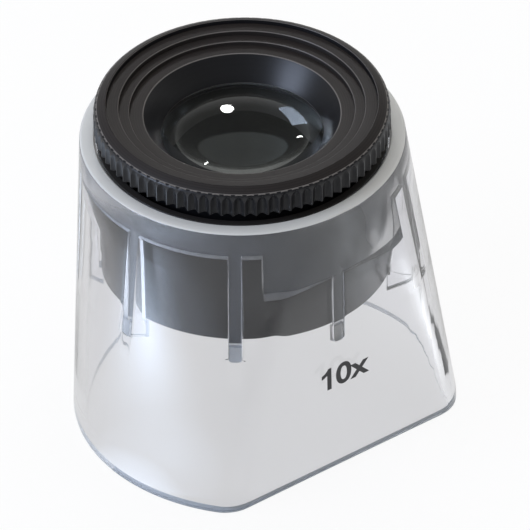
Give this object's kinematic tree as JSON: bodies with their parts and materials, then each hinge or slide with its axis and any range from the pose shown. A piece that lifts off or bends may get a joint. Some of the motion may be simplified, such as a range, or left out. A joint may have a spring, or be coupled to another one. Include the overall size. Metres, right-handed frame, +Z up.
{
  "type": "viewing loupe",
  "caption": "Focusing stand loupe: clear moulded stand with a flat front, threaded sleeve and a knurled head that carries two cemented doublets.",
  "frame": {"origin": "the lens axis where it meets the plane that the foot stands on, which is the bottom centre of the whole loupe", "axes": "+Z up along the lens axis towards the eye, -Y out of the flat front of the stand, +X to the right seen from the front"},
  "size_m": [0.0544, 0.046, 0.0503],
  "materials": {
    "clear_acrylic": "clear moulded acrylic, polished",
    "sleeve_black": "black moulded plastic, satin",
    "damping_rubber": "black rubber",
    "head_black": "black plastic, knurled, satin",
    "bezel_black": "black plastic with fine turned rings",
    "cone_black": "black plastic, satin cone",
    "flat_black": "flat black against glare",
    "crown_glass": "polished crown glass, coated",
    "flint_glass": "polished flint glass"
  },
  "bodies": {
    "stand": {"stand_body": "clear_acrylic", "guide_sleeve": "sleeve_black"},
    "damper": {"damping_ring": "damping_rubber"},
    "head": {"focus_ring": "head_black", "stop_ring": "sleeve_black", "front_bezel": "bezel_black", "lens_tube": "sleeve_black", "eye_cone": "cone_black", "eye_lens_crown": "crown_glass", "eye_lens_flint": "flint_glass", "lens_spacer": "flat_black", "field_lens_flint": "flint_glass", "field_lens_crown": "crown_glass", "field_retaining_ring": "flat_black"}
  },
  "joints": [
    {"name": "focus_travel", "type": "slide", "parent": "stand", "child": "damper", "axis": [0, 0, 1], "range_m": [-0.00101, 0.00301]},
    {"name": "focus_turn", "type": "hinge", "parent": "damper", "child": "head", "pos_m": [0, 0, 0.0446], "axis": [0, 0, 1], "range_deg": [-60, 180]}
  ],
  "couplings": [
    {"joint": "focus_travel", "follows": "focus_turn", "m_per_rad": 0.00095493}
  ]
}
